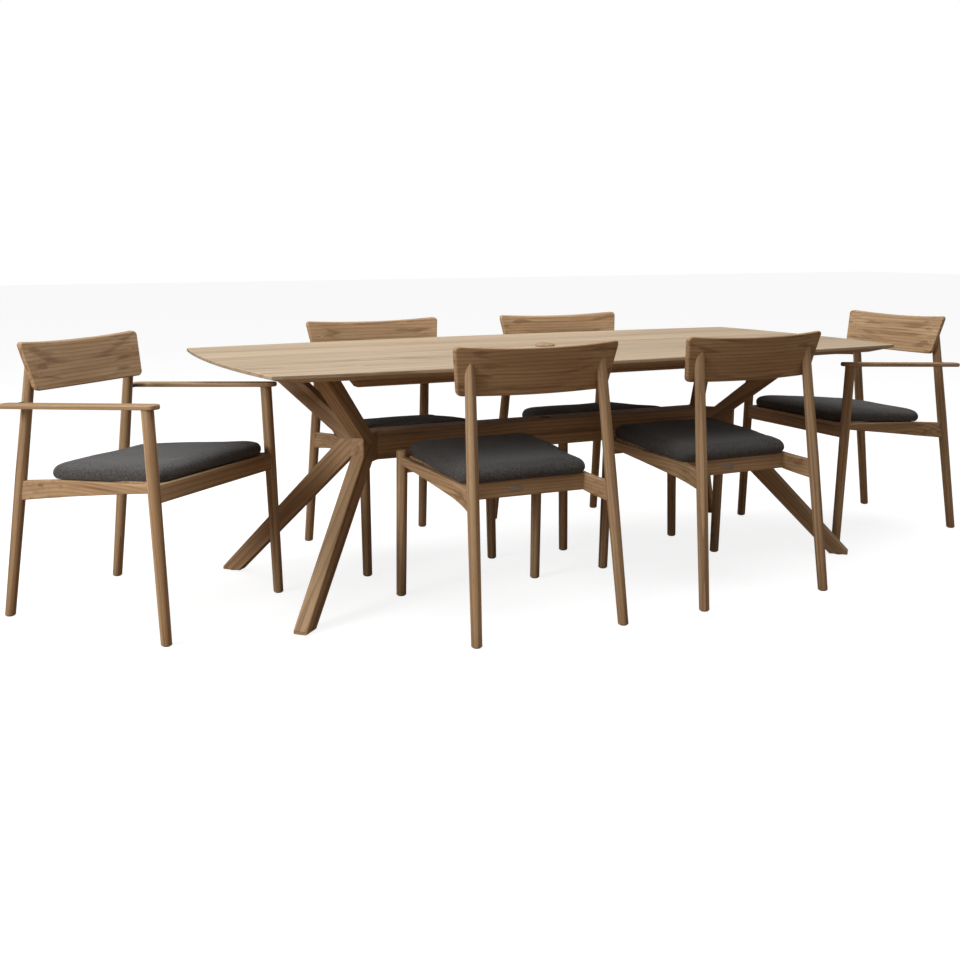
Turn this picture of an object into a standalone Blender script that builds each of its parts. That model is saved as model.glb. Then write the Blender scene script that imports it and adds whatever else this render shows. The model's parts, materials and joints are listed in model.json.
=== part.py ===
"""Teak patio dining set: one long table, four side chairs and two armchairs, in metres, +Z up.

Each chair is drawn in its own frame (u to its right, v forward, z up, origin at the middle of its
feet) and hangs on an empty that sets it in place. The table's frame is the whole set's own empty,
which is moved at the end so that the middle of the bounding box stands on the world origin.
"""
import math

import bpy
import bmesh
from mathutils import Vector
from mathutils.geometry import tessellate_polygon

for old in list(bpy.data.objects):
    bpy.data.objects.remove(old, do_unlink=True)

GAP = 0.0003

# ---- table ----
TOP_Z = 0.750
TOP_LENGTH = 2.196
TOP_WIDTH = 0.964
END_BOW = 0.033
SIDE_BOW = 0.051
EDGE_THICK = 0.0105
EDGE_EASE = 0.003
TOP_THICK = 0.028
BEVEL_RUN = 0.060
PLUG_HOLE_R = 0.022
PLUG_CAP_R = 0.033
PLUG_CAP_H = 0.011
PLUG_SPIGOT = 0.014
RAIL_Y = 0.250
RAIL_W = 0.040
RAIL_BOTTOM = 0.680
RAIL_HALF = 0.774
RAIL_SLANT = 0.034
TIE_HALF_X = 0.060
TIE_BOTTOM = 0.697
KNEE_X = 0.6467
LEG_PLAN = math.radians(45.3)
LEG_T = 0.044
KNEE_HOLLOW = (0.096, 0.4775)
ARM_TOP_OUT = 0.4035
ARM_TOP_IN = 0.3047
ARM_ROOT = 0.055
FOOT_IN = 0.4848
FOOT_OUT = 0.5474
LEG_ROOT = 0.060
TOE = 0.013
KNEE_FLAT = (0.127, 0.445)
HUB_REACH = -0.060
HUB_JOINT_Z = 0.4685
STRETCHER_W = 0.090
STRETCHER_Z = (0.418, 0.508)

# ---- chairs, in their own frame ----
SEAT_LEVEL = 0.4313
SEAT_SLOPE = 0.0692
RAIL_H = 0.052
RAIL_T = 0.022
REAR_RAIL_V = -0.108
SIDE_RAIL_FRONT_H = 0.022
SIDE_RAIL_ENDS = (-0.235, 0.270)
LEG_FOOT_R = 0.0155
LEG_SEAT_R = 0.0175
LEG_HEAD_R = 0.0150
FRONT_HEAD_R = 0.0172
BACK_HALF_TOP = 0.260
BACK_TAPER = 0.022
BACK_Z = (0.681, 0.821)
BACK_END_V = -0.165
BACK_LEAN = math.radians(14.5)
BACK_SAG = 0.025
BACK_DIP = 0.010
BACK_T = 0.018
BACK_CORNER = 0.014
PAD_T = 0.042
PAD_CROWN = 0.010
PAD_ROUND = 0.034
ARM_U = 0.285
ARM_W = 0.045
ARM_T = 0.014
ARM_FRONT_V = 0.318
ARM_REAR_V = -0.232
ARM_LEVEL = 0.6452
ARM_SLOPE = 0.0450
BOSS_R = 0.006
COPE_GAP = 0.0007

SIDE = dict(rear_foot=(0.236, -0.2785), rear_head=(0.206, -0.173, 0.780),
            front_foot=(0.238, 0.2785), front_head=(0.235, 0.262, 0.469),
            pad_front=0.215, pad_rear=0.208, pad_v=(-0.128, 0.293), back_half=0.2595, arms=False)
ARMED = dict(rear_foot=(0.241, -0.3027), rear_head=(0.214, -0.171, 0.800),
             front_foot=(0.284, 0.3027), front_head=(0.2854, 0.2817, 0.6588),
             pad_front=0.258, pad_rear=0.215, pad_v=(-0.150, 0.300), back_half=0.2540, arms=True)

CHAIRS = {
    "armchair_left": (ARMED, -1.3536, 0.0917, -2.4363),
    "armchair_right": (ARMED, 1.3723, -0.0180, 1.5389),
    "chair_near_left": (SIDE, -0.3715, -0.4462, -0.0174),
    "chair_near_right": (SIDE, 0.3829, -0.4411, 0.0197),
    "chair_far_left": (SIDE, -0.3905, 0.3865, 3.1820),
    "chair_far_right": (SIDE, 0.3780, 0.3858, 3.1480),
}


def material(name, colour, roughness):
    made = bpy.data.materials.new(name)
    made.use_nodes = True
    shader = made.node_tree.nodes["Principled BSDF"]
    shader.inputs["Base Color"].default_value = (*colour, 1.0)
    shader.inputs["Roughness"].default_value = roughness
    return made


def teak(name):
    return material(name + "_teak", (0.42, 0.26, 0.14), 0.55)


def empty(name, parent=None, location=(0.0, 0.0, 0.0), turn=0.0):
    made = bpy.data.objects.new(name, None)
    made.parent = parent
    made.location = location
    made.rotation_euler = (0.0, 0.0, turn)
    bpy.context.scene.collection.objects.link(made)
    return made


def new_object(name, points, faces, mat, parent, smooth=False):
    """A closed mesh object in its parent's frame, with its normals outward."""
    mesh = bpy.data.meshes.new(name)
    mesh.from_pydata([tuple(p) for p in points], [], faces)
    build = bmesh.new()
    build.from_mesh(mesh)
    bmesh.ops.remove_doubles(build, verts=build.verts, dist=1e-7)
    bmesh.ops.recalc_face_normals(build, faces=build.faces)
    build.to_mesh(mesh)
    build.free()
    for face in mesh.polygons:
        face.use_smooth = smooth
    made = bpy.data.objects.new(name, mesh)
    made.parent = parent
    bpy.context.scene.collection.objects.link(made)
    made.data.materials.append(mat)
    return made


def loft(rings):
    """Points and faces of a solid through closed rings of the same count, with flat ends."""
    points = [p for ring in rings for p in ring]
    count = len(rings[0])
    faces = []
    for level in range(len(rings) - 1):
        low = level * count
        for k in range(count):
            after = (k + 1) % count
            faces.append((low + k, low + after, low + count + after, low + count + k))
    faces.append(tuple(range(count)))
    faces.append(tuple(range((len(rings) - 1) * count, len(rings) * count)))
    return points, faces


def slab(loops_low, loops_high):
    """Points and faces of a plate whose outline and holes are given at its bottom and its top."""
    flat = [[Vector((p[0], p[1], 0.0)) for p in loop] for loop in loops_low]
    triangles = tessellate_polygon(flat)
    low = [p for loop in loops_low for p in loop]
    high = [p for loop in loops_high for p in loop]
    count = len(low)
    faces = [tuple(t) for t in triangles]
    faces += [tuple(i + count for i in t) for t in triangles]
    start = 0
    for loop in loops_low:
        for k in range(len(loop)):
            a = start + k
            b = start + (k + 1) % len(loop)
            faces.append((a, b, b + count, a + count))
        start += len(loop)
    return low + high, faces


def cut(target, operation, tool):
    tool.hide_render = True
    tool.display_type = "WIRE"
    step = target.modifiers.new(operation.lower(), "BOOLEAN")
    step.operation = operation
    step.solver = "EXACT"
    step.object = tool


def cylinder(name, start, end, radius, parent, count=24):
    a = Vector(start)
    b = Vector(end)
    axis = (b - a).normalized()
    side = axis.orthogonal().normalized()
    other = axis.cross(side)
    turns = [2 * math.pi * k / count for k in range(count)]
    rings = [[p + radius * (math.cos(t) * side + math.sin(t) * other) for t in turns]
             for p in (a, b)]
    return new_object(name, *loft(rings), teak(name), parent)


def slice_off(obj, point, normal):
    """Cut away what lies on the side of the plane its normal points to, and close the cut."""
    build = bmesh.new()
    build.from_mesh(obj.data)
    everything = build.verts[:] + build.edges[:] + build.faces[:]
    bmesh.ops.bisect_plane(build, geom=everything, plane_co=point, plane_no=normal,
                           clear_outer=True, dist=1e-7)
    edges = [e for e in build.edges if e.is_boundary]
    bmesh.ops.holes_fill(build, edges=edges)
    bmesh.ops.recalc_face_normals(build, faces=build.faces)
    build.to_mesh(obj.data)
    build.free()


# ---------------------------------------------------------------- table

def top_outline(inset, count_long=16, count_end=8):
    """The bowed outline of the table top, moved inward by inset, counter-clockwise."""
    half_l = TOP_LENGTH / 2
    half_w = TOP_WIDTH / 2
    points = []
    for k in range(count_long):
        t = -1 + 2 * k / count_long
        points.append((t * half_l, -(half_w + SIDE_BOW * (1 - t * t))))
    for k in range(count_end):
        t = -1 + 2 * k / count_end
        points.append((half_l + END_BOW * (1 - t * t), t * half_w))
    points += [(-x, -y) for x, y in points]
    reach_x = half_l + END_BOW
    reach_y = half_w + SIDE_BOW
    return [(x * (1 - inset / reach_x), y * (1 - inset / reach_y)) for x, y in points]


def build_top(table):
    levels = [(BEVEL_RUN, TOP_Z - TOP_THICK), (0.0, TOP_Z - EDGE_THICK),
              (0.0, TOP_Z - EDGE_EASE), (EDGE_EASE, TOP_Z)]
    rings = [[(x, y, z) for x, y in top_outline(inset)] for inset, z in levels]
    top = new_object("table_top", *loft(rings), teak("table_top"), table)
    tool = cylinder("cut_top_hole", (0, 0, 0.70), (0, 0, 0.80), PLUG_HOLE_R, table)
    cut(top, "DIFFERENCE", tool)


def build_plug(table):
    turns = [2 * math.pi * k / 24 for k in range(24)]
    profile = [(PLUG_HOLE_R - GAP, TOP_Z - PLUG_SPIGOT), (PLUG_HOLE_R - GAP, TOP_Z + GAP),
               (PLUG_CAP_R, TOP_Z + GAP), (PLUG_CAP_R, TOP_Z + PLUG_CAP_H - 0.002),
               (PLUG_CAP_R - 0.002, TOP_Z + PLUG_CAP_H)]
    rings = [[(r * math.cos(t), r * math.sin(t), z) for t in turns] for r, z in profile]
    new_object("parasol_plug", *loft(rings), teak("parasol_plug"), table)


def build_under_rail(table, name, side):
    """A lengthwise rail under the top, with its ends cut on a slant."""
    top = TOP_Z - TOP_THICK - GAP
    profile = [(-RAIL_HALF - RAIL_SLANT, top), (-RAIL_HALF, RAIL_BOTTOM),
               (RAIL_HALF, RAIL_BOTTOM), (RAIL_HALF + RAIL_SLANT, top)]
    faces_y = [side * RAIL_Y - RAIL_W / 2, side * RAIL_Y + RAIL_W / 2]
    rings = [[(x, y, z) for x, z in profile] for y in faces_y]
    new_object(name, *loft(rings), teak(name), table)


def build_centre_tie(table):
    """The cross tie under the middle of the top, between the two rails, with the pole hole."""
    half_y = RAIL_Y - RAIL_W / 2 - GAP
    corners = [(-TIE_HALF_X, -half_y), (TIE_HALF_X, -half_y), (TIE_HALF_X, half_y),
               (-TIE_HALF_X, half_y)]
    turns = [-2 * math.pi * k / 24 for k in range(24)]
    hole = [(PLUG_HOLE_R * math.cos(t), PLUG_HOLE_R * math.sin(t)) for t in turns]
    levels = (TIE_BOTTOM, TOP_Z - TOP_THICK - GAP)
    loops = [[[(x, y, z) for x, y in loop] for loop in (corners, hole)] for z in levels]
    new_object("centre_tie", *slab(*loops), teak("centre_tie"), table)


def build_leg_member(table, name, profile, end, side):
    """A flat member of a trestle, cut from its side view and set in its upright plane.

    end is -1 or 1 for the left or right end, side is -1 or 1 for the near or far half.
    """
    along = Vector((end * math.cos(LEG_PLAN), side * math.sin(LEG_PLAN), 0.0))
    across = Vector((-end * math.sin(LEG_PLAN), side * math.cos(LEG_PLAN), 0.0))
    knee = Vector((end * KNEE_X, 0.0, 0.0))
    rings = [[knee + s * along + w * across + Vector((0.0, 0.0, z)) for s, z in profile]
             for w in (0.0, LEG_T)]
    made = new_object(name, *loft(rings), teak(name), table)
    slice_off(made, (0.0, side * GAP / 2, 0.0), (0.0, -side, 0.0))


def build_trestle(table, end, side, label):
    """One arm and one leg, which meet on a nearly level joint through the hub of the knee."""
    joint_in = Vector((HUB_REACH, HUB_JOINT_Z))
    joint_out = Vector(KNEE_HOLLOW)
    run = (joint_out - joint_in).normalized()
    lift = Vector((-run.y, run.x)) * GAP / 2
    top = TOP_Z - TOP_THICK - GAP
    hub_low, hub_high = STRETCHER_Z
    arm = [joint_in + lift, joint_out + lift, (ARM_TOP_OUT, top), (ARM_TOP_IN, top),
           (ARM_ROOT, hub_high), (HUB_REACH, hub_high)]
    leg = [joint_in - lift, (HUB_REACH, hub_low), (LEG_ROOT, hub_low), (FOOT_IN, 0.0),
           (FOOT_OUT, 0.0), (FOOT_OUT, TOE)]
    if side < 0:
        flat_s, flat_low = KNEE_FLAT
        rise = (top - joint_out.y) / (ARM_TOP_OUT - joint_out.x)
        flat_high = joint_out.y + (flat_s - joint_out.x) * rise
        slack = Vector((GAP, 0.0))
        leg += [(flat_s, flat_low), (flat_s, flat_high - 2 * GAP), joint_out - lift + slack]
    else:
        leg.append(joint_out - lift)
    build_leg_member(table, "upper_arm_" + label, [tuple(p) for p in arm], end, side)
    build_leg_member(table, "lower_leg_" + label, [tuple(p) for p in leg], end, side)


def build_stretcher(table):
    """The beam between the two knees, with fishtail ends and the pole hole."""
    half = STRETCHER_W / 2
    reach = LEG_T / math.sin(LEG_PLAN)
    inner = KNEE_X - reach - 2 * GAP
    outer = inner + half / math.tan(LEG_PLAN)
    plan = [(-outer, -half), (outer, -half), (inner, 0.0), (outer, half), (-outer, half),
            (-inner, 0.0)]
    turns = [-2 * math.pi * k / 24 for k in range(24)]
    hole = [(PLUG_HOLE_R * math.cos(t), PLUG_HOLE_R * math.sin(t)) for t in turns]
    loops = [[[(x, y, z) for x, y in loop] for loop in (plan, hole)] for z in STRETCHER_Z]
    new_object("stretcher", *slab(*loops), teak("stretcher"), table)


# ---------------------------------------------------------------- chairs

def leg_axis(foot, head, side, z):
    t = z / head[2]
    return side * (foot[0] + (head[0] - foot[0]) * t), foot[1] + (head[1] - foot[1]) * t


def leg_radius(z, head_z, head_r):
    if z < SEAT_LEVEL:
        return LEG_FOOT_R + (LEG_SEAT_R - LEG_FOOT_R) * z / SEAT_LEVEL
    return LEG_SEAT_R + (head_r - LEG_SEAT_R) * (z - SEAT_LEVEL) / (head_z - SEAT_LEVEL)


def leg_rings(foot, head, side, head_r, levels, dome, count=16):
    """Rings of a turned leg on a straight leaning axis. dome adds a rounded head above it."""
    rings = []
    turns = [2 * math.pi * k / count for k in range(count)]
    stations = [(z, leg_radius(z, head[2], head_r)) for z in levels]
    if dome:
        top_z, top_r = stations[-1]
        stations += [(top_z + 0.6 * dome, top_r * 0.86), (top_z + dome, top_r * 0.45)]
    stations[0] = (0.0, stations[0][1] - 0.0015)
    stations.insert(1, (0.0025, leg_radius(0.0025, head[2], head_r)))
    for z, r in stations:
        u, v = leg_axis(foot, head, side, z)
        rings.append([(u + r * math.cos(t), v + r * math.sin(t), z) for t in turns])
    return rings


def back_v(u, z):
    """Middle of the backrest board's thickness, as v at this u and z."""
    middle = sum(BACK_Z) / 2
    bow = BACK_SAG * (1 - (u / BACK_HALF_TOP) ** 2)
    return BACK_END_V - bow - math.tan(BACK_LEAN) * (z - middle)


def build_legs(chair, name, kind):
    foot = kind["rear_foot"]
    head = kind["rear_head"]
    for side, label in ((-1, "left"), (1, "right")):
        levels = [0.0, 0.2, SEAT_LEVEL, 0.62, 0.72, 0.84]
        rings = leg_rings(foot, head, side, LEG_HEAD_R, levels, 0.0)
        node = f"{name}_rear_leg_{label}"
        made = new_object(node, *loft(rings), teak(node), chair, smooth=True)
        u, _ = leg_axis(foot, head, side, 0.75)
        slope = 2 * BACK_SAG * u / BACK_HALF_TOP ** 2
        cos = math.cos(BACK_LEAN)
        point = (u, back_v(u, 0.75) - BACK_T / 2 / cos - 0.0008, 0.75)
        normal = Vector((-slope * cos, cos, math.sin(BACK_LEAN))).normalized()
        slice_off(made, point, normal)
        levels = [0.0, 0.2, SEAT_LEVEL - 0.01]
        if kind["arms"]:
            levels += [0.54, kind["front_head"][2] - 0.002]
        else:
            levels += [kind["front_head"][2] - 0.007]
        node = f"{name}_front_leg_{label}"
        dome = 0.0 if kind["arms"] else 0.007
        rings = leg_rings(kind["front_foot"], kind["front_head"], side, FRONT_HEAD_R, levels, dome)
        new_object(node, *loft(rings), teak(node), chair, smooth=True)


def side_rail_u(kind, v):
    """Middle of the side rail in plan: straight from the front leg, then flared to the rear leg."""
    front_u, front_v = leg_axis(kind["front_foot"], kind["front_head"], 1, SEAT_LEVEL)
    rear_u, rear_v = leg_axis(kind["rear_foot"], kind["rear_head"], 1, SEAT_LEVEL)
    waist_v = REAR_RAIL_V + 0.03
    waist_u = rear_u - 0.016
    if v > waist_v:
        t = (v - waist_v) / (front_v - waist_v)
        return waist_u + (front_u - waist_u) * t * (0.75 + 0.25 * t)
    t = (waist_v - v) / (waist_v - rear_v)
    return waist_u + (rear_u - waist_u) * t * t


def cope(kind, which, heights, start, stop):
    """Points just clear of a right-hand leg, one for each height, from angle start to stop."""
    foot = kind[which + "_foot"]
    head = kind[which + "_head"]
    head_r = LEG_HEAD_R if which == "rear" else FRONT_HEAD_R
    points = []
    for k, z in enumerate(heights):
        u, v = leg_axis(foot, head, 1, z)
        r = leg_radius(z, head[2], head_r) + COPE_GAP
        a = math.radians(start + (stop - start) * k / (len(heights) - 1))
        points.append((u + r * math.cos(a), v + r * math.sin(a)))
    return points


def side_rail_depth(v):
    """Depth of a side rail, which tapers from the rear leg to the front one."""
    rear_v, front_v = SIDE_RAIL_ENDS
    return RAIL_H + (SIDE_RAIL_FRONT_H - RAIL_H) * (v - rear_v) / (front_v - rear_v)


def frame_loops(kind, level):
    """Outline and opening of the seat frame, level 0 for its underside and 1 for its top."""
    _, front_v = leg_axis(kind["front_foot"], kind["front_head"], 1, SEAT_LEVEL)
    rear_v = kind["rear_foot"][1] + 0.055
    half = RAIL_T / 2
    angle = math.degrees(math.asin(half / (LEG_SEAT_R + 0.0005)))
    right = [(0.0, front_v + half, RAIL_H)]
    top = SEAT_LEVEL + SEAT_SLOPE * front_v
    depths = [RAIL_H + (side_rail_depth(front_v) - RAIL_H) * k / 8 for k in range(9)]
    heights = [top - (0.0 if level else depth) for depth in depths]
    points = cope(kind, "front", heights, 180 - angle, 270 + angle)
    right += [(u, v, depth) for (u, v), depth in zip(points, depths)]
    for v in (0.16, 0.06, -0.04, -0.09, -0.14, -0.18):
        right.append((side_rail_u(kind, v) + half, v, side_rail_depth(v)))
    top = SEAT_LEVEL + SEAT_SLOPE * rear_v
    depth = side_rail_depth(rear_v)
    heights = [top - (0.0 if level else depth)] * 5
    points = cope(kind, "rear", heights, 90 - angle, 90 + angle)
    right += [(u, v, depth) for u, v in points]
    for v in (-0.18, -0.15, REAR_RAIL_V):
        right.append((side_rail_u(kind, v) - half, v, side_rail_depth(v)))
    outer = right + [(-u, v, depth) for u, v, depth in reversed(right[1:])]
    inner_right = [(side_rail_u(kind, 0.16) - half - 0.03, front_v - half, RAIL_H)]
    for v in (0.18, 0.06, -0.04, REAR_RAIL_V + RAIL_T):
        inner_right.append((side_rail_u(kind, v) - half, v, side_rail_depth(v)))
    inner = inner_right + [(-u, v, depth) for u, v, depth in reversed(inner_right)]
    return [[(u, v, SEAT_LEVEL + SEAT_SLOPE * v - (0.0 if level else depth))
             for u, v, depth in loop] for loop in (outer, inner)]


def build_seat_frame(chair, name, kind):
    loops = [frame_loops(kind, 0), frame_loops(kind, 1)]
    node = name + "_seat_frame"
    new_object(node, *slab(*loops), teak(node), chair)


def rounded_outline(corners, radius, steps):
    """A convex outline with its corners rounded, given counter-clockwise."""
    points = []
    count = len(corners)
    for k in range(count):
        here = Vector(corners[k])
        back = (Vector(corners[k - 1]) - here).normalized()
        ahead = (Vector(corners[(k + 1) % count]) - here).normalized()
        bend = math.acos(max(-1.0, min(1.0, back.dot(ahead))))
        reach = radius / math.tan(bend / 2)
        a = here + back * reach
        b = here + ahead * reach
        for step in range(steps + 1):
            t = step / steps
            points.append(tuple((1 - t) ** 2 * a + 2 * t * (1 - t) * here + t * t * b))
    return points


def build_pad(chair, name, kind):
    low_v, high_v = kind["pad_v"]
    rings = []
    for inset, rise in ((0.008, 0.0), (0.0, 0.010), (0.0, 0.024), (0.007, 0.036),
                        (0.020, PAD_T), (0.060, PAD_T + 0.6 * PAD_CROWN)):
        front = kind["pad_front"] - inset
        rear = kind["pad_rear"] - inset
        corners = [(-rear, low_v + inset), (rear, low_v + inset), (front, high_v - inset),
                   (-front, high_v - inset)]
        outline = rounded_outline(corners, PAD_ROUND, 4)
        rings.append([(u, v, SEAT_LEVEL + SEAT_SLOPE * v + GAP + rise) for u, v in outline])
    points, faces = loft(rings)
    faces.pop()
    last = (len(rings) - 1) * len(rings[0])
    count = len(rings[0])
    middle_v = (low_v + high_v) / 2
    points.append((0.0, middle_v, SEAT_LEVEL + SEAT_SLOPE * middle_v + GAP + PAD_T + PAD_CROWN))
    top = len(points) - 1
    faces += [(last + k, last + (k + 1) % count, top) for k in range(count)]
    node = name + "_seat_pad"
    fabric = material(node + "_fabric", (0.06, 0.06, 0.065), 0.9)
    new_object(node, points, faces, fabric, chair, smooth=True)


def build_backrest(chair, name, kind):
    """A thin board, hollow toward the sitter, leaning back and wider at its top."""
    low, high = BACK_Z
    stations = [-1.0, -0.985, -0.94, -0.8, -0.55, -0.25, 0.0, 0.25, 0.55, 0.8, 0.94, 0.985, 1.0]
    rings = []
    for t in stations:
        inset = BACK_CORNER * (1 - math.sqrt(max(0.0, 1 - max(0.0, (abs(t) - 0.94) / 0.06) ** 2)))
        z_low = low + inset - 0.004 * (1 - t * t)
        z_high = high - inset - BACK_DIP * (1 - t * t)
        ring = []
        for z, half_t in ((z_low, -0.3), (z_low, 0.3), (z_low + 0.006, 0.5),
                          (z_high - 0.006, 0.5), (z_high, 0.3), (z_high, -0.3),
                          (z_high - 0.006, -0.5), (z_low + 0.006, -0.5)):
            u = t * (kind["back_half"] - BACK_TAPER * (high - z) / (high - low))
            ring.append((u, back_v(u, z) + half_t * BACK_T / math.cos(BACK_LEAN), z))
        rings.append(ring)
    node = name + "_backrest"
    new_object(node, *loft(rings), teak(node), chair)


def build_arms(chair, name, kind):
    """A flat bar on the front leg that passes outside the rear leg, with a short round boss."""
    for side, label in ((-1, "left"), (1, "right")):
        half = ARM_W / 2
        outline = []
        for k in range(9):
            a = math.pi * k / 8
            outline.append((side * ARM_U + half * math.cos(a),
                            ARM_FRONT_V - half + half * math.sin(a)))
        for k in range(9):
            a = math.pi * (1 + k / 8)
            outline.append((side * ARM_U + half * math.cos(a),
                            ARM_REAR_V + half + half * math.sin(a)))
        loops = [[[(u, v, ARM_LEVEL + ARM_SLOPE * v + rise) for u, v in outline]]
                 for rise in (0.0, ARM_T)]
        node = f"{name}_arm_{label}"
        made = new_object(node, *slab(*loops), teak(node), chair)
        u, v = leg_axis(kind["rear_foot"], kind["rear_head"], side, ARM_LEVEL)
        radius = leg_radius(ARM_LEVEL, kind["rear_head"][2], LEG_HEAD_R)
        z = ARM_LEVEL + ARM_SLOPE * v + 0.5 * ARM_T
        boss = cylinder("tool_boss_" + node, (u + side * (radius + GAP), v, z),
                        (side * (ARM_U - 0.01), v, z), BOSS_R, chair, 12)
        cut(made, "UNION", boss)


# ---------------------------------------------------------------- build and centre the set

table = empty("patio_dining_set")
build_top(table)
build_plug(table)
build_under_rail(table, "under_rail_near", -1)
build_under_rail(table, "under_rail_far", 1)
build_centre_tie(table)
build_stretcher(table)
for end, end_name in ((-1, "left"), (1, "right")):
    for side, side_name in ((-1, "near"), (1, "far")):
        build_trestle(table, end, side, f"{end_name}_{side_name}")
for name, (kind, x, y, heading) in CHAIRS.items():
    chair = empty(name, table, (x, y, 0.0), heading)
    build_legs(chair, name, kind)
    build_seat_frame(chair, name, kind)
    build_backrest(chair, name, kind)
    build_pad(chair, name, kind)
    if kind["arms"]:
        build_arms(chair, name, kind)

bpy.context.view_layer.update()
corners = [obj.matrix_world @ vertex.co for obj in bpy.data.objects
           if obj.type == "MESH" and not obj.hide_render for vertex in obj.data.vertices]
low = Vector([min(p[axis] for p in corners) for axis in range(3)])
high = Vector([max(p[axis] for p in corners) for axis in range(3)])
shift = Vector((-(low.x + high.x) / 2, -(low.y + high.y) / 2, -low.z))
table.location = shift
bpy.context.view_layer.update()
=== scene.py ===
# %% [markdown]
# # A teak patio dining set
# A long bow-sided table on bent trestle legs, four side chairs and two armchairs, all in solid teak
# with charcoal seat pads. The CAD model fixes every place and size. This script makes the surfaces
# that are seen: eased edges, turned legs, bent boards, stuffed pads and their finishes.

# %% Load the fixed frame
import json
import math

import bmesh
import bpy
import numpy as np
from mathutils import Matrix, Vector

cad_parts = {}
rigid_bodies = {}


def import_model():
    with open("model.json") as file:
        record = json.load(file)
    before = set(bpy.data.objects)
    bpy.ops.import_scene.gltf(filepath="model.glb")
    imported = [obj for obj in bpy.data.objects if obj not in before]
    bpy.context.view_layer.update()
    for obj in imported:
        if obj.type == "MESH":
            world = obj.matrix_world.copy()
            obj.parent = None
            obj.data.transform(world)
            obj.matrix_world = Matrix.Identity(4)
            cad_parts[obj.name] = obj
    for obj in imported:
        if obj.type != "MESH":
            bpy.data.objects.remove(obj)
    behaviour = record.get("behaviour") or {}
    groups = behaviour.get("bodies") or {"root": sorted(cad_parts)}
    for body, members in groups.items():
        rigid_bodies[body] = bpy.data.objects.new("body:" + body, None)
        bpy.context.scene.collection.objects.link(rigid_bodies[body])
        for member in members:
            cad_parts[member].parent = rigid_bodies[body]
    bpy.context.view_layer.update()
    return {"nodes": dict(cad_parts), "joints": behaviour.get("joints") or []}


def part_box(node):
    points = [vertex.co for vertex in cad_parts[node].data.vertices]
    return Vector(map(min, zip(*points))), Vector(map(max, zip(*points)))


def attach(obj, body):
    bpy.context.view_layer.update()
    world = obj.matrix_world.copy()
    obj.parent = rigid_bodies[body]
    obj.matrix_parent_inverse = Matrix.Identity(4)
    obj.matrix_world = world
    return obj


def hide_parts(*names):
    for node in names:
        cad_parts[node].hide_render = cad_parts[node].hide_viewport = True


for old in list(bpy.data.objects):
    bpy.data.objects.remove(old, do_unlink=True)
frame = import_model()
draw = np.random.default_rng(11)

# %% [markdown]
# ## Where things stand
# The table's middle is the middle of the round cover, and each chair has its own frame: u to the
# sitter's right, v forward, z up, with its origin between its four feet. A leg is turned on a
# straight axis, so the middles of two of its rings give its foot and its lean.

# %% Table and chair frames
plug_low, plug_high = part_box("parasol_plug")
MIDDLE = np.array([(plug_low.x + plug_high.x) / 2, (plug_low.y + plug_high.y) / 2, 0.0])
TOP_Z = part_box("table_top")[1].z
TURNED_RING = {"rear": 0.4313, "front": 0.4213}
CHAIR_NAMES = [j["child"] for j in frame["joints"] if j["name"].endswith("_pull_out")]


def show(thing):
    """Put a new object in the scene."""
    bpy.context.scene.collection.objects.link(thing)


def read(items, key, width=1, kind=np.float32):
    """One property of all of a mesh's vertices, faces or corners, as an array."""
    values = np.empty(len(items) * width, kind)
    items.foreach_get(key, values)
    return values.reshape(-1, width) if width > 1 else values


def ring_middle(node, z):
    """Middle of the ring of a leg's CAD vertices at height z: halfway between their extremes."""
    points = read(frame["nodes"][node].data.vertices, "co", 3).astype(float)
    ring = points[abs(points[:, 2] - z) < 0.0006]
    return np.array([*(ring[:, :2].min(0) + ring[:, :2].max(0)) / 2, z])


def chair_frame(name):
    """A chair's origin, its axes as rows, and each leg's foot and lean in the chair's own frame."""
    back = next(j["axis"] for j in frame["joints"] if j["name"] == name + "_pull_out")
    turn = np.array([[-back[1], back[0], 0.0], [-back[0], -back[1], 0.0], [0.0, 0.0, 1.0]])
    rings = {}
    for which in ("rear", "front"):
        for side, label in ((-1, "left"), (1, "right")):
            node = f"{name}_{which}_leg_{label}"
            rings[which, side] = ring_middle(node, 0.0), ring_middle(node, TURNED_RING[which])
    origin = np.mean([low for low, _ in rings.values()], axis=0)
    legs = {}
    for key, (low, high) in rings.items():
        foot = (low - origin) @ turn.T
        lean = ((high - low) @ turn.T)[:2] / high[2]
        legs[key] = (foot[:2], lean)
    return dict(name=name, origin=origin, turn=turn, legs=legs, armed=name.startswith("arm"))


CHAIRS = [chair_frame(name) for name in CHAIR_NAMES]
print("table middle", MIDDLE.round(4), "chairs", [c["name"] for c in CHAIRS])

# %% [markdown]
# ## The camera
# The camera stands a little to the left of the set, 1.1 m up, just above the chairs' backs, and is
# tipped down by about eleven degrees. It comes first, so that every piece can be judged from it.

# %% Camera
CAMERA_AT = np.array([-2.012, -3.5771, 1.0982])
CAMERA_TURN = 0.4586
CAMERA_DIP = 0.1949
CAMERA_ROLL = -0.0016

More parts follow.
